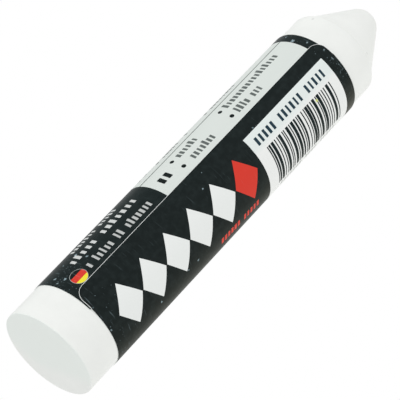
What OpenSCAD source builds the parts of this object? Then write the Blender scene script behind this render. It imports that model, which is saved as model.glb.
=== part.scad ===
// Waxed marking chalk with a printed wrap label. All sizes are in millimetres.
// The stick stands on its flat butt end, with its writing end up (+Z).
// The label is a self-adhesive film wound once round the stick. Its outer end laps over its
// inner end, along a seam that runs the whole height of the label.

/* [Chalk stick] */
// Length of the stick, from the butt to the point
stick_l = 101.5; // [85:0.5:130]
// Diameter of the moulded barrel
barrel_d = 19.8; // [16:0.1:24]
// How much the bare neck past the label is set in from the barrel, all round
neck_step = 0.16; // [0.05:0.01:0.5]
// Rounding of the rim at the butt
butt_round = 0.3; // [0.2:0.1:1.5]

/* [Writing end] */
// Length of the writing end, from the shoulder to the point
tip_l = 12.8; // [11:0.1:18]
// Radius of the rounded point
nose_r = 3.9; // [2.5:0.1:5]
// Radius of the hollow between the shoulder and the cone
hollow_r = 4.4; // [3:0.1:6]
// Slope of the hollow where it leaves the shoulder, in degrees from flat
hollow_slope = 40; // [30:1:50]

/* [Label] */
// Bare chalk between the butt and the label
butt_bare = 7.7; // [3:0.1:15]
// Bare chalk between the label and the shoulder
neck_bare = 6.4; // [3:0.1:12]
// Thickness of the printed film
film_t = 0.08; // [0.05:0.01:0.2]
// Thickness of the glue under the film
glue_t = 0.02; // [0.01:0.01:0.05]
// Width of the lap, measured round the stick
lap_w = 4.2; // [4:0.1:12]
// Radius of the two corners at the free edge of the lap
lap_corner_r = 2.4; // [0.5:0.1:3.5]
// Bearing of the lap's free edge, in degrees from +X
seam_deg = -114; // [-180:1:180]

/* [Hidden] */
$fn = 128;

// Room past a face, so that a cut runs clean through it
over = 1;
// How far the hollow's circle reaches past the cone's line, so that it crosses it and doesn't just touch it
bite = 0.002;

barrel_r = barrel_d / 2;
neck_r = barrel_r - neck_step;
shoulder_z = stick_l - tip_l;
label_low = butt_bare;
label_h = shoulder_z - neck_bare - label_low;

// The outline of the stick is worked out as [radius, height].
// The cone is the straight line that touches both the ball of the point and the hollow.
nose_c = [0, stick_l - nose_r];
hollow_c = [neck_r + hollow_r * sin(hollow_slope), shoulder_z + hollow_r * cos(hollow_slope)];
nose_to_hollow = hollow_c - nose_c;
cone_deg = atan2(nose_to_hollow.y, nose_to_hollow.x)
    + acos((nose_r + hollow_r) / norm(nose_to_hollow));
cone_out = [cos(cone_deg), sin(cone_deg)];
cone_top = nose_c + nose_r * cone_out;
cone_foot = hollow_c - hollow_r * cone_out;

// The film lies on a bed of glue, on the chalk and again on itself in the lap.
bed_r = barrel_r + glue_t;
film_r = bed_r + film_t;
lap_r = film_r + glue_t + film_t;
film_mid_r = bed_r + film_t / 2;
lap_deg = lap_w / film_r * 180 / PI;
// Past the lap the film comes down in a straight line that would just touch its own middle
landing_deg = lap_deg + acos(film_mid_r / lap_r);

function at_bearing(r, a) = [r * cos(a), r * sin(a)];

// Half section of the moulded stick, to the right of its axis
module stick_outline() {
    butt_c = [barrel_r - butt_round, butt_round];
    difference() {
        polygon([
            [0, 0], [barrel_r, 0], [barrel_r, label_low + label_h], [neck_r, label_low + label_h],
            [neck_r, hollow_c.y], hollow_c, cone_foot, cone_top, nose_c
        ]);
        translate(hollow_c) circle(hollow_r + bite);
        difference() {
            translate([butt_c.x, -over]) square([butt_round + over, butt_round + over]);
            translate(butt_c) circle(butt_round);
        }
    }
    translate(nose_c) intersection() {
        circle(nose_r);
        translate([0, -nose_r]) square(2 * nose_r);
    }
}

// Waxed chalk moulded in one piece: flat butt, barrel, short neck, hollow shoulder and cone
module chalk_stick() {
    color("whitesmoke") rotate_extrude() stick_outline();
}

// What a rounded corner takes away from the lap, cut inwards from the face of the film
module corner_waste() {
    rotate([90, 0, 90]) linear_extrude(lap_r + over) difference() {
        translate([-over, -over]) square(lap_corner_r + over);
        translate([lap_corner_r, lap_corner_r]) circle(lap_corner_r);
    }
}

// The outer end of the film where it lies on the inner end, and the short run down past it.
// Its free edge lies on +X here, and it is solid to the axis until the bore is cut.
module lap() {
    difference() {
        linear_extrude(label_h) intersection() {
            circle(lap_r);
            polygon([
                [0, 0], at_bearing(2 * lap_r, 0), at_bearing(2 * lap_r, lap_deg),
                at_bearing(lap_r, lap_deg), at_bearing(film_mid_r, landing_deg)
            ]);
        }
        corner_waste();
        translate([0, 0, label_h]) mirror([0, 0, 1]) corner_waste();
    }
}

// Printed film, wound once round the stick and lapped over itself
module wrap_label() {
    color("darkslategray") translate([0, 0, label_low]) difference() {
        union() {
            cylinder(r = film_r, h = label_h);
            rotate(seam_deg) lap();
        }
        translate([0, 0, -over]) cylinder(r = bed_r, h = label_h + 2 * over);
    }
}

chalk_stick();
wrap_label();
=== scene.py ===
import math

import bmesh
import bpy
from mathutils import Matrix, Vector, noise


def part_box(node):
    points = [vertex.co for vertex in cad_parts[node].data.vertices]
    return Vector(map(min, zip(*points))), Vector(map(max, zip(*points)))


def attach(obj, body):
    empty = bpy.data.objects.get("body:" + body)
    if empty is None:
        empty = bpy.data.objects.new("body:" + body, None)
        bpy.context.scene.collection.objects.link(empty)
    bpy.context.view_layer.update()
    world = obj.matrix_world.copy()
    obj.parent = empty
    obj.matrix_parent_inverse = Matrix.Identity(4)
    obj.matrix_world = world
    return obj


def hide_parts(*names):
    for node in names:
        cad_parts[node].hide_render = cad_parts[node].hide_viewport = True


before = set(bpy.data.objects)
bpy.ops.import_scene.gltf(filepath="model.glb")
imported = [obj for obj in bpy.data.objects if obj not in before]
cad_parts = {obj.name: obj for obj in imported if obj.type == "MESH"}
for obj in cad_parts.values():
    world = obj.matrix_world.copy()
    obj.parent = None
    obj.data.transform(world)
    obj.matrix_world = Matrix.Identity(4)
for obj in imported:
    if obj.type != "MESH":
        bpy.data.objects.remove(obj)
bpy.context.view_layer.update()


# ---- Studio ---------------------------------------------------------------------------------
# The stick stands on its butt on a plain pale floor, in soft light from all round. The viewer
# looks up at it from below the floor, close by and with the stick leaning to the right, so the
# floor shows only from above and lets light from below reach the butt.

MM = 0.001
EYE = Vector((0.0, -376.107, -158.950)) * MM
AIM = Vector((0.738, 2.648, 45.849)) * MM
HEAD_UP = Vector((-0.68732, -0.34444, 0.63949))
LENS_MM, SENSOR_MM = 202.9, 36.0

camera = bpy.data.objects.new("camera", bpy.data.cameras.new("camera"))
camera.data.lens = LENS_MM
camera.data.sensor_width = SENSOR_MM
camera.data.clip_start, camera.data.clip_end = 0.01, 20.0
ahead = (AIM - EYE).normalized()
right = ahead.cross(HEAD_UP).normalized()
above = right.cross(ahead)
turn = Matrix((right, above, -ahead)).transposed().to_4x4()
camera.matrix_world = Matrix.Translation(EYE) @ turn
bpy.context.collection.objects.link(camera)
bpy.context.scene.camera = camera
bpy.context.scene.view_settings.view_transform = "Standard"


def put(tree, kind, sockets=None, **settings):
    """Adds a shader node. Each socket gets a value, or a link from another node's output."""
    made = tree.nodes.new("ShaderNode" + kind)
    for name, value in settings.items():
        setattr(made, name, value)
    for name, value in (sockets or {}).items():
        if isinstance(value, bpy.types.NodeSocket):
            tree.links.new(value, made.inputs[name])
        else:
            made.inputs[name].default_value = value
    return made


def calc(tree, operation, *values):
    """A Math node's result."""
    return put(tree, "Math", dict(enumerate(values)), operation=operation).outputs[0]


def axes_of(tree, vector):
    """A vector's three numbers, by the name of their axis."""
    return put(tree, "SeparateXYZ", {"Vector": vector}).outputs


def ramp(tree, value, begins, ends, low=0.0, high=1.0, **settings):
    """Goes from the low number to the high one as the value goes from where it begins to its end."""
    return put(tree, "MapRange", {"Value": value, "From Min": begins, "From Max": ends,
                                  "To Min": low, "To Max": high}, **settings).outputs[0]


# How bright the surroundings are where they light the stick. Seen or mirrored, they are at 1.
ROOM_LIGHT = 0.745
# Mirrored, the right wall is a shade warmer, the left one cool and softer, and the walls darken
# towards the floor: the axis of the direction, where the tint begins and ends, and the tint.
ROOM_TINTS = (("X", 0.1, 0.8, (0.99, 0.985, 0.81, 1)),
              ("X", -0.35, -0.75, (0.50, 0.58, 0.58, 1)),
              ("Z", 0.56, 0.33, (0.6, 0.6, 0.6, 1)))

world = bpy.data.worlds.new("plain studio")
bpy.context.scene.world = world
world.use_nodes = True
tree = world.node_tree
tree.nodes.clear()
path = put(tree, "LightPath").outputs
seen = calc(tree, "MAXIMUM", path["Is Camera Ray"], path["Is Glossy Ray"])
seen = calc(tree, "MAXIMUM", seen, path["Is Transmission Ray"])
strength = calc(tree, "MULTIPLY_ADD", seen, 1 - ROOM_LIGHT, ROOM_LIGHT)
direction = axes_of(tree, put(tree, "TexCoord").outputs["Generated"])
walls = (1, 1, 1, 1)
for axis, begins, ends, tint in ROOM_TINTS:
    facing = calc(tree, "MULTIPLY", ramp(tree, direction[axis], begins, ends), path["Is Glossy Ray"])
    walls = put(tree, "Mix", {0: facing, 6: walls, 7: tint}, data_type="RGBA",
                blend_type="MULTIPLY").outputs[2]
room = put(tree, "Background", {"Color": walls, "Strength": strength})
put(tree, "OutputWorld", {"Surface": room.outputs[0]})

# Each lamp: direction from the stick, distance in metres, width in metres, and how bright it
# alone would make a white matte face that is turned to it.
LAMPS = {
    "key": ((-0.82, -0.57, 0.10), 0.80, 0.60, 0.315),
    "fill": ((0.93, -0.26, 0.42), 0.90, 0.70, 0.22),
    "low": ((0.10, -0.30, -0.95), 0.80, 0.60, 0.15),
    "back": ((0.30, 0.90, 0.35), 1.00, 0.80, 0.20),
}
middle = Vector((0, 0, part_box("chalk_stick")[1].z / 2))
for name, (toward, distance, width, brightness) in LAMPS.items():
    lamp = bpy.data.objects.new(name + " lamp", bpy.data.lights.new(name + " lamp", "AREA"))
    lamp.data.shape = "DISK"
    lamp.data.size = width
    lamp.data.energy = brightness * math.pi ** 2 * distance ** 2
    lamp.location = middle + Vector(toward).normalized() * distance
    lamp.rotation_euler = Vector(toward).to_track_quat("Z", "Y").to_euler()
    lamp.visible_glossy = False
    bpy.context.collection.objects.link(lamp)


def srgb(red, green, blue):
    """A colour from 0 to 255 as it should look, turned into the shader's linear light."""
    parts = [part / 255 for part in (red, green, blue)]
    lit = [p / 12.92 if p <= 0.04045 else ((p + 0.055) / 1.055) ** 2.4 for p in parts]
    return (*lit, 1.0)


def new_material(name):
    """An empty node material: the material, its tree and its output node."""
    material = bpy.data.materials.new(name)
    material.use_nodes = True
    tree = material.node_tree
    tree.nodes.clear()
    return material, tree, put(tree, "OutputMaterial")


FLOOR_SPAN, FLOOR_DROP = 1.5, 0.0004
FLOOR_COLOUR = srgb(238, 239, 238)
# Far from the stick the floor fades into the white room, between these shares of its half span.
FADE_FROM, FADE_TO = 0.2, 0.95

floor_mesh = bpy.data.meshes.new("floor")
edge = FLOOR_SPAN / 2
floor_mesh.from_pydata(
    [(-edge, -edge, -FLOOR_DROP), (edge, -edge, -FLOOR_DROP),
     (edge, edge, -FLOOR_DROP), (-edge, edge, -FLOOR_DROP)],
    [], [(0, 1, 2, 3)])
floor = bpy.data.objects.new("floor", floor_mesh)
bpy.context.collection.objects.link(floor)
# The floor blocks no light, so that what comes from below still reaches the butt.
floor.visible_shadow = False
floor.visible_diffuse = False
floor_paint, tree, surface = new_material("pale floor")
board = put(tree, "BsdfDiffuse", {"Color": FLOOR_COLOUR})
clear = put(tree, "BsdfTransparent")
place = put(tree, "TexCoord").outputs["Object"]
reach = put(tree, "VectorMath", {0: place}, operation="LENGTH").outputs["Value"]
fade = ramp(tree, reach, FADE_FROM * edge, FADE_TO * edge, interpolation_type="SMOOTHSTEP")
under = put(tree, "NewGeometry").outputs["Backfacing"]
gone = calc(tree, "MAXIMUM", fade, under)
seen_floor = put(tree, "MixShader", {0: gone, 1: board.outputs[0], 2: clear.outputs[0]})
tree.links.new(seen_floor.outputs[0], surface.inputs["Surface"])
floor_mesh.materials.append(floor_paint)


# ---- Chalk stick ----------------------------------------------------------------------------
# One solid stick of white waxed chalk, cast in a mould: flat butt with a soft rim, round barrel,
# short bare neck, crisp shoulder, and a blunt cone that runs out of a hollow. Fresh from the
# mould it is matt and a little waxy, with faint clouds, pinholes and stray specks of dirt.

chalk_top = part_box("chalk_stick")[1]
STICK_L = chalk_top.z / MM
BARREL_R = chalk_top.x / MM
NECK_STEP = 0.16
NECK_R = BARREL_R - NECK_STEP
NECK_FROM = 81.6                        # the neck starts under the end of the label
STEP_SLOPE = 0.1                        # and steps in over this height
RIM_CRISP, RIM_WORN = 0.12, 0.42        # rounding of the butt's rim, which is worn on one side
WORN_SIDE = math.radians(20)            # bearing of that side
TIP_L = 12.8
SHOULDER_Z = STICK_L - TIP_L
# The shoulder's edge is barely rounded: points of it, as how far in from the neck and how far up
# from the shoulder they lie, and how much of the hollow's arc it takes.
SHOULDER_EDGE = ((0.0, -0.242), (0.02, -0.099), (0.08, 0.044))
SHOULDER_TAKES = 0.308
NOSE_R = 3.9
HOLLOW_R = 4.4
HOLLOW_SLOPE = math.radians(40)
ROUND_STEPS = 176
CAST_WAVE = 0.035                       # how far the cast surface falls inside the true shape


def arc(centre, radius, start, end, steps):
    """Points on an arc, as (distance from the axis, height), from one angle to another."""
    turns = [start + (end - start) * i / steps for i in range(steps + 1)]
    return [(centre[0] + radius * math.cos(t), centre[1] + radius * math.sin(t)) for t in turns]


def straight(start, end, steps):
    """Points on a line, without the two ends."""
    return [(start[0] + (end[0] - start[0]) * i / steps, start[1] + (end[1] - start[1]) * i / steps)
            for i in range(1, steps)]


def stick_outline(rim):
    """The stick's half section, from the middle of the butt to the point."""
    nose = (0, STICK_L - NOSE_R)
    hollow = (NECK_R + HOLLOW_R * math.sin(HOLLOW_SLOPE),
              SHOULDER_Z + HOLLOW_R * math.cos(HOLLOW_SLOPE))
    run = (hollow[0] - nose[0], hollow[1] - nose[1])
    # The cone is the line that touches both the ball of the point and the hollow.
    outward = math.atan2(run[1], run[0]) + math.acos((NOSE_R + HOLLOW_R) / math.hypot(*run))
    shoulder_angle = math.atan2(SHOULDER_Z - hollow[1], NECK_R - hollow[0])
    hollow_arc = arc(hollow, HOLLOW_R, shoulder_angle - SHOULDER_TAKES / HOLLOW_R,
                     outward - math.pi, 16)
    nose_arc = arc(nose, NOSE_R, outward, math.pi / 2, 16)
    shoulder = [(NECK_R - inward, SHOULDER_Z + up) for inward, up in SHOULDER_EDGE]
    step_top = (NECK_R, NECK_FROM + STEP_SLOPE)
    points = [(r, 0) for r in (0.6, 1.8, 3.2, 4.6, 6.0, 7.4, 8.6)]
    points += arc((BARREL_R - rim, rim), rim, -math.pi / 2, 0, 8)
    points += straight((BARREL_R, rim), (BARREL_R, NECK_FROM), 58)
    points += [(BARREL_R, NECK_FROM), step_top]
    points += straight(step_top, shoulder[0], 7) + shoulder + hollow_arc
    points += straight(hollow_arc[-1], nose_arc[0], 9) + nose_arc[:-1]
    return points


def cast(point):
    """A point of the true shape, moved inwards as the cast surface lies a little unevenly."""
    spot = Vector(point)
    wave = 0.6 * noise.noise(spot / 5.5) + 0.4 * noise.noise(spot / 2.1 + Vector((7, 3, 1)))
    sink = CAST_WAVE * (0.5 + 0.5 * max(-1.0, min(1.0, wave)))
    core = Vector((0, 0, min(max(spot.z, BARREL_R), STICK_L - BARREL_R)))
    return (spot + (core - spot).normalized() * sink) * MM


chalk_mesh = bpy.data.meshes.new("chalk_stick_cast")
bm = bmesh.new()
spokes = []
for i in range(ROUND_STEPS):
    bearing = 2 * math.pi * i / ROUND_STEPS
    wear = (0.5 + 0.5 * math.cos(bearing - WORN_SIDE)) ** 2
    spokes.append([bm.verts.new(cast((r * math.cos(bearing), r * math.sin(bearing), z)))
                   for r, z in stick_outline(RIM_CRISP + (RIM_WORN - RIM_CRISP) * wear)])
rings = list(zip(*spokes))
butt_middle = bm.verts.new(cast((0, 0, 0)))
point_tip = bm.verts.new((0, 0, STICK_L * MM))
for i in range(ROUND_STEPS):
    j = (i + 1) % ROUND_STEPS
    bm.faces.new((rings[0][j], rings[0][i], butt_middle))
    bm.faces.new((rings[-1][i], rings[-1][j], point_tip))
    for lower, upper in zip(rings, rings[1:]):
        bm.faces.new((lower[i], lower[j], upper[j], upper[i]))
for face in bm.faces:
    face.smooth = True
bm.to_mesh(chalk_mesh)
bm.free()
chalk = bpy.data.objects.new("chalk_stick_cast", chalk_mesh)
bpy.context.collection.objects.link(chalk)


def mixed(tree, amount, first, second):
    """Goes from the first colour to the second as the amount goes from 0 to 1."""
    return put(tree, "Mix", {0: amount, 6: first, 7: second}, data_type="RGBA").outputs[2]


def vector_calc(tree, operation, *vectors):
    """A Vector Math node's result. A length, a distance or a dot product is one number."""
    made = put(tree, "VectorMath", dict(enumerate(vectors)), operation=operation)
    one_number = operation in ("LENGTH", "DISTANCE", "DOT_PRODUCT")
    return made.outputs["Value" if one_number else "Vector"]


def place_in_mm(tree):
    """Where a point of the object is, in millimetres."""
    place = put(tree, "TexCoord").outputs["Object"]
    return put(tree, "VectorMath", {0: place, "Scale": 1 / MM}, operation="SCALE").outputs[0]


def mottle(tree, place, scale, detail, roughness=0.5):
    """A cloudy mask, about 0.5 on average."""
    return put(tree, "TexNoise", {"Vector": place, "Scale": scale, "Detail": detail,
                                  "Roughness": roughness}).outputs[0]


def three_draws(tree, colour):
    """Three numbers from 0 to 1, out of a random colour."""
    return put(tree, "SeparateColor", {"Color": colour}).outputs


def new_group(name, inputs, outputs):
    """A shader node group with named sockets: its tree, its inputs and its output node."""
    group = bpy.data.node_groups.new(name, "ShaderNodeTree")
    for label, (kind, start) in inputs.items():
        socket = group.interface.new_socket(label, in_out="INPUT", socket_type="NodeSocket" + kind)
        if start is not None:
            socket.default_value = start
    for label, kind in outputs.items():
        group.interface.new_socket(label, in_out="OUTPUT", socket_type="NodeSocket" + kind)
    return group, group.nodes.new("NodeGroupInput").outputs, group.nodes.new("NodeGroupOutput")


def place_group(tree, group, sockets):
    """Puts a node group in a tree and returns its outputs."""
    return put(tree, "Group", sockets, node_tree=group).outputs


# Specks: small round spots, one in some of the cells of a loose grid. Chalk dust on the film and
# stray dirt in the chalk are both made with it.
specks, given, result = new_group(
    "scattered specks",
    {"Place": ("Vector", None), "Spacing": ("Float", 2.0), "Share": ("Float", 0.3),
     "Size": ("Float", 0.2)},
    {"Mask": "Float"})
finer = calc(specks, "DIVIDE", 1.0, given["Spacing"])
cells = put(specks, "TexVoronoi", {"Vector": given["Place"], "Scale": finer, "Randomness": 1.0})
luck = three_draws(specks, cells.outputs["Color"])
far = calc(specks, "MULTIPLY", cells.outputs["Distance"], given["Spacing"])
radius = calc(specks, "MULTIPLY", given["Size"], calc(specks, "MULTIPLY_ADD", luck[1], 0.8, 0.3))
inside = ramp(specks, calc(specks, "DIVIDE", far, radius), 1.15, 0.75)
chosen = calc(specks, "LESS_THAN", luck[0], given["Share"])
specks.links.new(calc(specks, "MULTIPLY", inside, chosen), result.inputs["Mask"])

CHALK_WHITE, CHALK_CLOUD = srgb(241, 243, 240), srgb(237, 239, 236)
BUTT_LIGHT_TINT = srgb(235, 240, 236)
CHALK_DIRT = srgb(150, 152, 146)
# The butt's painted tint of light reaches a little up the rim, and ends on the two ways given
# here: the way to the worn side and the way to the back, where its end is painted light from
# behind. Each has the way, where the tint is gone and where it is whole.
BUTT_GONE_Z, BUTT_WHOLE_Z = 0.3, 0.06
BUTT_TINT_ENDS = (((0.77, 0.64, 0), 5.8, 3.0), ((0, 1, 0), 8.3, 5.2))
# Two stray grains at the shoulder, faint and soft-edged
STRAY_GRAINS = ((-7.6, -6.1, 87.8), (4.8, -7.3, 89.9))

chalk_paint, tree, surface = new_material("waxed chalk")
place = place_in_mm(tree)
clouds = ramp(tree, mottle(tree, place, 0.16, 5.0, 0.6), 0.35, 0.65)
tint = mixed(tree, clouds, CHALK_WHITE, CHALK_CLOUD)
# The butt face is painted a shade greener, a painted tint of light, but for its back and worn
# side; the neutral back is painted light from behind.
on_butt = ramp(tree, axes_of(tree, place)["Z"], BUTT_GONE_Z, BUTT_WHOLE_Z)
for way, gone_from, whole_to in BUTT_TINT_ENDS:
    along = vector_calc(tree, "DOT_PRODUCT", place, way)
    on_butt = calc(tree, "MULTIPLY", on_butt, ramp(tree, along, gone_from, whole_to))
tint = mixed(tree, on_butt, tint, BUTT_LIGHT_TINT)
dirt = place_group(tree, specks, {"Place": place, "Spacing": 4.2, "Share": 0.3, "Size": 0.17})
dirt = calc(tree, "MULTIPLY", dirt["Mask"], 0.55)
for spot in STRAY_GRAINS:
    mark = ramp(tree, vector_calc(tree, "DISTANCE", place, spot), 0.36, 0.12, high=0.28)
    dirt = calc(tree, "MAXIMUM", dirt, mark)
tint = mixed(tree, dirt, tint, CHALK_DIRT)
grain = mottle(tree, place, 2.6, 6.0, 0.7)
pinholes = place_group(tree, specks, {"Place": place, "Spacing": 1.4, "Share": 0.35, "Size": 0.1})
height = calc(tree, "MULTIPLY_ADD", pinholes["Mask"], -1.2, grain)
relief = put(tree, "Bump", {"Height": height, "Distance": 0.03 * MM, "Strength": 0.6})
body = put(tree, "BsdfPrincipled", {
    "Base Color": tint, "Roughness": ramp(tree, grain, 0.0, 1.0, 0.5, 0.68), "IOR": 1.42,
    "Normal": relief.outputs[0]})
tree.links.new(body.outputs[0], surface.inputs["Surface"])
chalk_mesh.materials.append(chalk_paint)

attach(chalk, "root")
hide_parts("chalk_stick")


# ---- Wrap label -----------------------------------------------------------------------------
# A white self-adhesive film, printed near-black with a pale grey and a white panel, and wound
# once round the barrel. Its outer end, with two rounded corners, laps over its inner end and
# sits a little nearer the point, so that the cut edge shows as a fine white line.

label_low, label_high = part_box("wrap_label")
FILM_T, GLUE_T = 0.08, 0.02
WRAP_R = min(label_high.x, label_high.y, -label_low.x) / MM   # the face of the film
LAP_W = 4.2
LAP_FALL = 1.8                          # the run down from the lap to the chalk
FILM_L = 2 * math.pi * WRAP_R + LAP_W
FILM_H = 74.65
CORNER_R = 2.4
SEAM = math.radians(-114.6)             # bearing of the free edge
WOUND_LOW = 7.6                         # height of the film's lower edge after one full turn
WOUND_CLIMB, CLIMB_OVER = 0.4, 13.0     # the free end climbs this much, over about this length
ACROSS_STEP, UP_STEPS, CORNER_STEPS = 0.42, 64, 14
SHARP_FROM = math.radians(40)


def film_point(s, h, face):
    """A point of the film s from its free edge and h above its lower edge, in metres.
    The face is 1 for the printed side and 0 for the glued side."""
    drop = min(max((s - LAP_W) / LAP_FALL, 0), 1)
    lap = (FILM_T + GLUE_T) * (1 - drop * drop * (3 - 2 * drop))
    r = WRAP_R - FILM_T + lap + face * FILM_T
    bearing = SEAM + s / WRAP_R
    z = WOUND_LOW + WOUND_CLIMB * math.exp(-s / CLIMB_OVER) + h
    return Vector((r * math.cos(bearing), r * math.sin(bearing), z)) * MM


# Steps round the film, close together where the corners turn
across = [CORNER_R * (1 - math.cos(math.pi / 2 * i / CORNER_STEPS)) for i in range(CORNER_STEPS + 1)]
rest = math.ceil((FILM_L - CORNER_R) / ACROSS_STEP)
across += [CORNER_R + (FILM_L - CORNER_R) * i / rest for i in range(1, rest + 1)]

film_mesh = bpy.data.meshes.new("wrap_label_film")
bm = bmesh.new()
wrap = bm.verts.layers.float_vector.new("wrap")
sheets = []
for face in (1, 0):
    columns = []
    for s in across:
        cut = CORNER_R - math.sqrt(max(CORNER_R ** 2 - max(CORNER_R - s, 0) ** 2, 0))
        column = []
        for i in range(UP_STEPS + 1):
            h = cut + (FILM_H - 2 * cut) * i / UP_STEPS
            vertex = bm.verts.new(film_point(s, h, face))
            vertex[wrap] = (s, h, face)
            column.append(vertex)
        columns.append(column)
    sheets.append(columns)
printed, glued = sheets

# The flat map that finishes bake to, from 0 to 1 each way: the printed side takes most of it,
# the glued side a strip above it, and the four cut rims thin strips round the printed side.
bake_map = bm.loops.layers.uv.new("OFBake")
MAP_LEFT, MAP_WIDTH = 0.015, 0.97
PRINTED_V, GLUED_V = (0.02, 0.9), (0.94, 0.99)
LOW_RIM_V, HIGH_RIM_V = (0.015, 0.005), (0.905, 0.915)
FREE_RIM_U, INNER_RIM_U = (0.01, 0.002), (0.99, 0.998)


def map_u(column):
    """The map's place across for a column of the film's points."""
    return MAP_LEFT + MAP_WIDTH * across[column] / FILM_L


def map_v(row, band):
    """The map's place up for a row of the film's points, in a band between two heights."""
    return band[0] + (band[1] - band[0]) * row / UP_STEPS


def film_face(corners, at, turned=False):
    """One face of the film, with its corners' places on the flat map. Turned, it faces away."""
    if turned:
        corners, at = corners[::-1], at[::-1]
    made = bm.faces.new(corners)
    made.smooth = True
    for loop, spot in zip(made.loops, at):
        loop[bake_map].uv = spot


last = len(across) - 1
for a in range(last):
    for b in range(UP_STEPS):
        round_it = ((a, b), (a + 1, b), (a + 1, b + 1), (a, b + 1))
        for sheet, band in ((printed, PRINTED_V), (glued, GLUED_V)):
            film_face([sheet[i][j] for i, j in round_it],
                      [(map_u(i), map_v(j, band)) for i, j in round_it], sheet is glued)
    for b, (v_in, v_out) in ((0, LOW_RIM_V), (UP_STEPS, HIGH_RIM_V)):
        ends = ((printed, a, v_in), (glued, a, v_out), (glued, a + 1, v_out), (printed, a + 1, v_in))
        film_face([sheet[i][b] for sheet, i, _ in ends], [(map_u(i), v) for _, i, v in ends], b > 0)
for b in range(UP_STEPS):
    for a, (u_in, u_out) in ((0, FREE_RIM_U), (last, INNER_RIM_U)):
        ends = ((printed, b, u_in), (printed, b + 1, u_in), (glued, b + 1, u_out), (glued, b, u_out))
        film_face([sheet[a][j] for sheet, j, _ in ends],
                  [(u, map_v(j, PRINTED_V)) for _, j, u in ends], a > 0)
bm.to_mesh(film_mesh)
bm.free()
film_mesh.set_sharp_from_angle(angle=SHARP_FROM)
label = bpy.data.objects.new("wrap_label_film", film_mesh)
bpy.context.collection.objects.link(label)

# A printed block: a rectangle with rounded corners, or a disc where the corners meet.
block, given, result = new_group(
    "printed block",
    {"Film": ("Vector", None), "Middle": ("Vector", None), "Half Size": ("Vector", None),
     "Corner": ("Float", 0.0)},
    {"Mask": "Float"})
off = vector_calc(block, "ABSOLUTE", vector_calc(block, "SUBTRACT", given["Film"], given["Middle"]))
past = vector_calc(block, "SUBTRACT", off, given["Half Size"])
past = vector_calc(block, "ADD", past, given["Corner"])
past = vector_calc(block, "MAXIMUM", past, (0, 0, 0))
past = vector_calc(block, "LENGTH", vector_calc(block, "MULTIPLY", past, (1, 1, 0)))
over = calc(block, "SUBTRACT", past, given["Corner"])
block.links.new(calc(block, "LESS_THAN", over, 0.001), result.inputs["Mask"])

# A row of small blocks of uneven width, with a gap here and there. It stands in for a line of
# small print, and it spells nothing.
row, given, result = new_group(
    "row of small blocks",
    {"Film": ("Vector", None), "Middle": ("Float", 0.0), "Height": ("Float", 1.4),
     "Start": ("Float", 0.0), "End": ("Float", 10.0), "Pitch": ("Float", 1.1),
     "Fill": ("Float", 0.6), "Tall": ("Float", 0.25), "Gaps": ("Float", 0.13),
     "Seed": ("Float", 0.0)},
    {"Mask": "Float"})
film = axes_of(row, given["Film"])
steps = calc(row, "DIVIDE", calc(row, "SUBTRACT", film["Y"], given["Start"]), given["Pitch"])
number = calc(row, "ADD", calc(row, "FLOOR", steps), calc(row, "MULTIPLY", given["Seed"], 37.0))
luck = put(row, "TexWhiteNoise", {"W": number}, noise_dimensions="1D").outputs["Color"]
luck = three_draws(row, luck)
off_middle = calc(row, "ABSOLUTE", calc(row, "SUBTRACT", calc(row, "FRACT", steps), 0.5))
spread = calc(row, "MULTIPLY", given["Fill"], calc(row, "MULTIPLY_ADD", luck[1], 0.22, 0.4))
wide = calc(row, "LESS_THAN", off_middle, spread)
kept = calc(row, "GREATER_THAN", luck[0], given["Gaps"])
rise = calc(row, "SUBTRACT", given["Middle"], film["X"])
half = calc(row, "MULTIPLY", given["Height"], 0.5)
tall = calc(row, "MULTIPLY_ADD", calc(row, "LESS_THAN", luck[2], given["Tall"]), 0.7, 1.0)
low_side = calc(row, "GREATER_THAN", rise, calc(row, "MULTIPLY", half, -1.0))
high_side = calc(row, "LESS_THAN", rise, calc(row, "MULTIPLY", half, tall))
cells = calc(row, "DIVIDE", calc(row, "SUBTRACT", given["End"], given["Start"]), given["Pitch"])
started = calc(row, "GREATER_THAN", steps, 0.0)
ended = calc(row, "LESS_THAN", steps, calc(row, "ROUND", cells))
mask = wide
for part in (kept, low_side, high_side, started, ended):
    mask = calc(row, "MULTIPLY", mask, part)
row.links.new(mask, result.inputs["Mask"])

# A run of upright bars, one in each cell and one, two or three parts of the cell wide, at a
# random place in it. It codes nothing.
bars, given, result = new_group(
    "run of bars",
    {"Film": ("Vector", None), "Start": ("Float", 0.0), "Cell": ("Float", 0.77),
     "Seed": ("Float", 0.0)},
    {"Mask": "Float"})
film = axes_of(bars, given["Film"])
steps = calc(bars, "DIVIDE", calc(bars, "SUBTRACT", film["Y"], given["Start"]), given["Cell"])
number = calc(bars, "ADD", calc(bars, "FLOOR", steps), given["Seed"])
luck = put(bars, "TexWhiteNoise", {"W": number}, noise_dimensions="1D").outputs["Color"]
luck = three_draws(bars, luck)
parts = calc(bars, "ADD", calc(bars, "GREATER_THAN", luck[0], 0.5),
             calc(bars, "GREATER_THAN", luck[0], 0.72))
width = calc(bars, "MULTIPLY_ADD", parts, 0.29, 0.36)
begin = calc(bars, "MULTIPLY", luck[1], calc(bars, "SUBTRACT", 1.0, width))
into = calc(bars, "SUBTRACT", calc(bars, "FRACT", steps), begin)
bar = calc(bars, "MULTIPLY", calc(bars, "GREATER_THAN", into, 0.0),
           calc(bars, "LESS_THAN", into, width))
bars.links.new(bar, result.inputs["Mask"])

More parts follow.
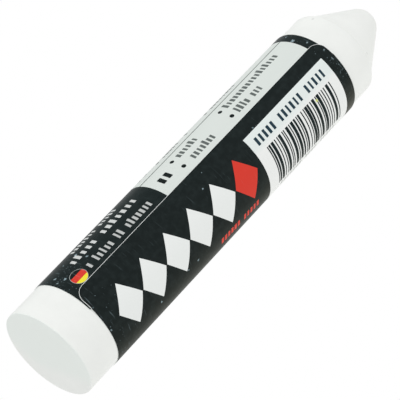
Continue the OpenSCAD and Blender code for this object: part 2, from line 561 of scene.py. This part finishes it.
# A row of diamonds. The number tells them apart.
diamonds, given, result = new_group(
    "row of diamonds",
    {"Film": ("Vector", None), "Middle": ("Float", 0.0), "Half Width": ("Float", 4.4),
     "Start": ("Float", 0.0), "Pitch": ("Float", 7.0), "Half Length": ("Float", 3.2),
     "Count": ("Float", 6.0)},
    {"Mask": "Float", "Number": "Float"})
film = axes_of(diamonds, given["Film"])
aside = calc(diamonds, "ABSOLUTE", calc(diamonds, "SUBTRACT", film["X"], given["Middle"]))
steps = calc(diamonds, "SUBTRACT", film["Y"], given["Start"])
steps = calc(diamonds, "DIVIDE", steps, given["Pitch"])
along = calc(diamonds, "ABSOLUTE", calc(diamonds, "SUBTRACT", calc(diamonds, "FRACT", steps), 0.5))
along = calc(diamonds, "MULTIPLY", along, given["Pitch"])
outward = calc(diamonds, "ADD", calc(diamonds, "DIVIDE", aside, given["Half Width"]),
               calc(diamonds, "DIVIDE", along, given["Half Length"]))
mask = calc(diamonds, "LESS_THAN", outward, 1.0)
for limit in (calc(diamonds, "GREATER_THAN", steps, 0.0),
              calc(diamonds, "LESS_THAN", steps, given["Count"])):
    mask = calc(diamonds, "MULTIPLY", mask, limit)
diamonds.links.new(mask, result.inputs["Mask"])
diamonds.links.new(calc(diamonds, "FLOOR", steps), result.inputs["Number"])

BLACK, BLACK_WORN, BLACK_UNDER = srgb(24, 31, 31), srgb(38, 46, 46), srgb(26, 34, 34)
WHITE, GREY = srgb(235, 238, 236), srgb(217, 223, 219)
RED, YELLOW = srgb(216, 63, 51), srgb(240, 228, 62)

label_paint, tree, surface = new_material("printed film")
film = put(tree, "Attribute", attribute_name="wrap").outputs["Vector"]
film_axes = axes_of(tree, film)
place = place_in_mm(tree)


def printed_block(s_from, s_to, h_from, h_to, corner=0.0, film=film):
    """The mask of a printed block between two places across the film and two up it."""
    return place_group(tree, block, {
        "Film": film, "Middle": ((s_from + s_to) / 2, (h_from + h_to) / 2, 0),
        "Half Size": ((s_to - s_from) / 2, (h_to - h_from) / 2, 0), "Corner": corner})["Mask"]


def small_print(middle, h_from, h_to, height=1.4, pitch=1.1, fill=0.6, seed=0.0, film=film,
                tall=0.25, gaps=0.13):
    """The mask of one row of small blocks."""
    return place_group(tree, row, {
        "Film": film, "Middle": middle, "Start": h_from, "End": h_to, "Height": height,
        "Pitch": pitch, "Fill": fill, "Tall": tall, "Gaps": gaps, "Seed": seed})["Mask"]


def disc(s, h, r, film=film):
    """The mask of a printed disc."""
    return printed_block(s - r, s + r, h - r, h + r, r, film)


def inked(mask, strength, under, colour):
    """Prints a colour over what is under it, at less than full strength."""
    return mixed(tree, calc(tree, "MULTIPLY", mask, strength), under, colour)


# The black is a little uneven, and a shade lighter on the inner half of the film.
INNER_HALF = 40.0
inner = calc(tree, "GREATER_THAN", film_axes["X"], INNER_HALF)
ink = mixed(tree, inner, BLACK, BLACK_UNDER)
uneven = ramp(tree, mottle(tree, place, 0.8, 5.0), 0.42, 0.68)
ink = inked(uneven, 0.5, ink, BLACK_WORN)

# A dull brownish haze of fine streaks lies round the corner by the white panel: partly handling
# marks, partly painted sheen that lightens the black there.
SHEEN_HAZE = srgb(126, 124, 112)
SHEEN_HAZE_ENDS = (("X", 9.5, 18.0), ("X", 25.0, 20.0), ("Y", 42.0, 72.0))
sheen_streaks = put(tree, "Mapping", {"Vector": film, "Scale": (3.0, 0.35, 1.0)}).outputs[0]
sheen_haze = mottle(tree, sheen_streaks, 1.0, 3.0)
for axis, begins, ends in SHEEN_HAZE_ENDS:
    sheen_haze = calc(tree, "MULTIPLY", sheen_haze, ramp(tree, film_axes[axis], begins, ends))
# The haze, with its painted sheen, is inked over the black.
black = inked(sheen_haze, 0.36, ink, SHEEN_HAZE)

# Pale grey panel with a table of small print, one row for each 7.8 mm round the film. Each row
# has a rule, two bold blocks, and four lines of print with a dot before each.
PANEL_FROM, PANEL_LOW, PANEL_HIGH = 32.0, 27.89, 72.35
TABLE_PITCH, RULE_W = 7.8, 0.3
RULE_GREY, PRINT_GREY = srgb(98, 106, 102), srgb(60, 70, 68)
BOLD_S, BOLD_H, BOLD_CORNER = (3.15, 5.1), ((29.8, 30.8), (31.5, 32.5)), 0.15
DOT_S, DOT_H, DOT_R = (2.45, 5.45), (35.3, 50.3), 0.47
# Each line: its middle across, where it runs from and to, and its seed
TABLE_LINES = ((2.6, 36.7, 42.9, 1.0), (2.6, 51.6, 67.9, 2.0),
               (5.5, 36.7, 44.6, 3.0), (5.5, 51.6, 59.7, 4.0))
down = calc(tree, "DIVIDE", calc(tree, "SUBTRACT", film_axes["X"], PANEL_FROM), TABLE_PITCH)
table_row = calc(tree, "FLOOR", down)
in_row = calc(tree, "MULTIPLY", calc(tree, "FRACT", down), TABLE_PITCH)
folded = put(tree, "CombineXYZ", {"X": in_row, "Y": film_axes["Y"]}).outputs[0]
table = mixed(tree, calc(tree, "LESS_THAN", in_row, RULE_W), GREY, RULE_GREY)
for low, high in BOLD_H:
    table = mixed(tree, printed_block(*BOLD_S, low, high, BOLD_CORNER, folded), table, BLACK)
for s in DOT_S:
    for h in DOT_H:
        table = mixed(tree, disc(s, h, DOT_R, folded), table, BLACK)
for middle, h_from, h_to, seed in TABLE_LINES:
    own_seed = calc(tree, "ADD", table_row, seed * 11)
    mask = small_print(middle, h_from, h_to, 1.35, 0.98, 0.58, own_seed, folded, gaps=0.08)
    table = inked(mask, 0.88, table, PRINT_GREY)
panel = printed_block(PANEL_FROM, FILM_L + 1, PANEL_LOW, PANEL_HIGH)
ink = mixed(tree, panel, black, table)

# Rows of pale small print on the black. Each row: its middle across, where it runs from and to,
# the blocks' height and pitch, its strength and its seed.
PALE_ROWS = ((61.05, 6.6, 25.4, 1.35, 1.02, 0.60, 21.0), (57.5, 5.7, 24.1, 1.45, 1.45, 0.75, 2.0),
             (54.3, 8.6, 21.2, 1.35, 1.0, 0.80, 16.0), (51.1, 5.7, 24.1, 1.35, 1.0, 0.62, 24.0),
             (47.9, 5.7, 19.0, 1.35, 1.0, 0.62, 25.0))
for middle, h_from, h_to, height, pitch, strength, seed in PALE_ROWS:
    mask = small_print(middle, h_from, h_to, height, pitch, 0.5, seed, gaps=0.16)
    ink = inked(mask, strength, ink, WHITE)

# A small disc with three stripes and a fine pale ring
ROUNDEL_S, ROUNDEL_H, ROUNDEL_R, RING_W = 60.98, 4.1, 1.75, 0.09
RED_FROM, YELLOW_FROM = 60.33, 61.68
RING_GREY = srgb(168, 172, 169)
ink = mixed(tree, disc(ROUNDEL_S, ROUNDEL_H, ROUNDEL_R), ink, RING_GREY)
stripes = mixed(tree, calc(tree, "GREATER_THAN", film_axes["X"], RED_FROM), BLACK, RED)
stripes = mixed(tree, calc(tree, "GREATER_THAN", film_axes["X"], YELLOW_FROM), stripes, YELLOW)
ink = mixed(tree, disc(ROUNDEL_S, ROUNDEL_H, ROUNDEL_R - RING_W), ink, stripes)

# Big diamonds, the last one red, and a row of small red blocks
big = place_group(tree, diamonds, {
    "Film": film, "Middle": 8.9, "Half Width": 4.7, "Start": 3.3, "Pitch": 7.0,
    "Half Length": 3.35, "Count": 6.0})
last_one = calc(tree, "GREATER_THAN", big["Number"], 4.5)
ink = mixed(tree, big["Mask"], ink, mixed(tree, last_one, WHITE, RED))
ink = mixed(tree, small_print(15.6, 31.0, 43.2, 1.5, 1.0, 0.58, 53.0, tall=0.0), ink, RED)

# White panel, cooler along its upper edge, with a run of bars between two rows of small print
PAPER_COOL, PAPER_WARM = srgb(228, 235, 233), srgb(239, 241, 239)
CODE_INK, BAR_INK, FAINT_INK = srgb(36, 58, 70), srgb(20, 33, 36), srgb(80, 86, 84)
BARS_S, BARS_H, BARS_SEED = (7.4, 16.7), (49.05, 69.75), 867.0
paper = mixed(tree, ramp(tree, film_axes["X"], 6.1, 7.3), PAPER_COOL, PAPER_WARM)
ink = mixed(tree, printed_block(3.19, 21.7, 46.6, 71.96), ink, paper)
mask = small_print(5.3, 48.1, 70.3, 1.75, 1.234, 0.48, 56.0, tall=0.0, gaps=0.1)
ink = mixed(tree, mask, ink, CODE_INK)
mask = place_group(tree, bars, {"Film": film, "Start": BARS_H[0], "Seed": BARS_SEED})["Mask"]
ink = inked(mask, printed_block(*BARS_S, *BARS_H), ink, BAR_INK)
mask = small_print(17.9, 50.2, 68.2, 1.3, 1.0, 0.62, 92.0, tall=0.0, gaps=0.1)
ink = inked(mask, 0.45, ink, FAINT_INK)
# A grain of yellow chalk caught between the bars
away = vector_calc(tree, "DISTANCE", film, (8.3, 64.9, 1))
ink = mixed(tree, ramp(tree, away, 0.42, 0.15, high=0.8), ink, srgb(222, 230, 120))

# The cut edge shows the white film, and so do the film's rim and its glued side. The edge of the
# lap is open and shows more of it than the edges that are pressed on the chalk.
OPEN_EDGE, PRESSED_EDGE = 0.08, 0.01
lifted = printed_block(OPEN_EDGE, FILM_L, OPEN_EDGE, FILM_H - OPEN_EDGE, CORNER_R - OPEN_EDGE)
pressed = printed_block(LAP_W, FILM_L, PRESSED_EDGE, FILM_H - PRESSED_EDGE)
printed_side = calc(tree, "GREATER_THAN", film_axes["Z"], 0.98)
uncut = calc(tree, "MULTIPLY", calc(tree, "MAXIMUM", lifted, pressed), printed_side)
ink = mixed(tree, uncut, WHITE, ink)

# Chalk dust on the film, most of it near the two ends: grains, finer powder, a few flakes that
# the fingers left, and thin slanted smears
DUST = srgb(176, 200, 208)
# Each flake: its place across and up the film, and its size
FLAKES = ((57.0, 1.7, 0.24), (59.1, 2.4, 0.26), (56.2, 8.4, 0.22), (59.1, 8.7, 0.18),
          (58.4, 0.8, 0.16), (61.6, 73.7, 0.2), (58.7, 72.9, 0.36), (56.1, 73.8, 0.22),
          (2.5, 73.9, 0.2), (4.8, 73.8, 0.18), (2.9, 50.1, 0.18), (4.0, 33.1, 0.18),
          (14.3, 13.0, 0.2), (13.7, 21.2, 0.18), (13.8, 24.1, 0.2), (9.7, 0.5, 0.14))
# The powder lies thickest in two smudges by the edges: their place across and up, and their reach
SMUDGES = ((59.5, 0.3, 7.5), (7.5, 74.0, 5.5))
up_film = calc(tree, "DIVIDE", film_axes["Y"], FILM_H)
off_half = calc(tree, "ABSOLUTE", calc(tree, "MULTIPLY_ADD", up_film, 2.0, -1.0))
near_end = ramp(tree, off_half, 0.72, 1.0)
grains = place_group(tree, specks, {
    "Place": place, "Spacing": 1.3, "Size": 0.16,
    "Share": calc(tree, "MULTIPLY_ADD", near_end, 0.28, 0.035)})["Mask"]
patches = ramp(tree, mottle(tree, place, 0.5, 3.0), 0.4, 0.65)
dust = calc(tree, "MULTIPLY", grains, calc(tree, "MULTIPLY", patches, 0.6))
powdery = calc(tree, "MULTIPLY", calc(tree, "MULTIPLY", near_end, near_end), 0.2)
for s, h, reach in SMUDGES:
    smudge = ramp(tree, vector_calc(tree, "DISTANCE", film, (s, h, 1)), reach, 0.0)
    powdery = calc(tree, "MAXIMUM", powdery, smudge)
powder = place_group(tree, specks, {
    "Place": place, "Spacing": 0.42, "Share": powdery, "Size": 0.12})["Mask"]
dust = calc(tree, "MAXIMUM", dust, calc(tree, "MULTIPLY", powder, 0.2))
warp = put(tree, "TexNoise", {"Vector": place, "Scale": 3.0, "Detail": 2.0}).outputs["Color"]
warp = vector_calc(tree, "SUBTRACT", warp, (0.5, 0.5, 0.5))
warped = vector_calc(tree, "MULTIPLY_ADD", warp, (0.9, 0.9, 0.0), film)
nearest = 9.0
for s, h, size in FLAKES:
    away = vector_calc(tree, "DISTANCE", warped, (s, h, 1))
    nearest = calc(tree, "MINIMUM", nearest, calc(tree, "DIVIDE", away, size))
dust = calc(tree, "MAXIMUM", dust, ramp(tree, nearest, 1.3, 0.5, high=0.6))
slanted = put(tree, "Mapping", {"Vector": film, "Rotation": (0, 0, 0.6), "Scale": (0.22, 2.4, 1.0)})
smear = ramp(tree, mottle(tree, slanted.outputs[0], 1.0, 5.0, 0.62), 0.62, 0.78)
smear = calc(tree, "MULTIPLY", smear, calc(tree, "MULTIPLY_ADD", near_end, 0.3, 0.1))
dust = calc(tree, "MAXIMUM", dust, smear)
ink = mixed(tree, dust, ink, DUST)

# Satin film, duller where dust lies on it
fine = mottle(tree, place, 1.7, 4.0)
satin = calc(tree, "MULTIPLY_ADD", dust, 0.3, ramp(tree, fine, 0.0, 1.0, 0.3, 0.44))
relief = put(tree, "Bump", {"Height": fine, "Distance": 0.012 * MM, "Strength": 0.5})
body = put(tree, "BsdfPrincipled", {"Base Color": ink, "Roughness": satin, "IOR": 1.17,
                                    "Normal": relief.outputs[0]})
tree.links.new(body.outputs[0], surface.inputs["Surface"])
film_mesh.materials.append(label_paint)

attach(label, "root")
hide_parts("wrap_label")


# ---- Size -----------------------------------------------------------------------------------
# Nothing is measured here: the scene is only brought up to date.

bpy.context.view_layer.update()
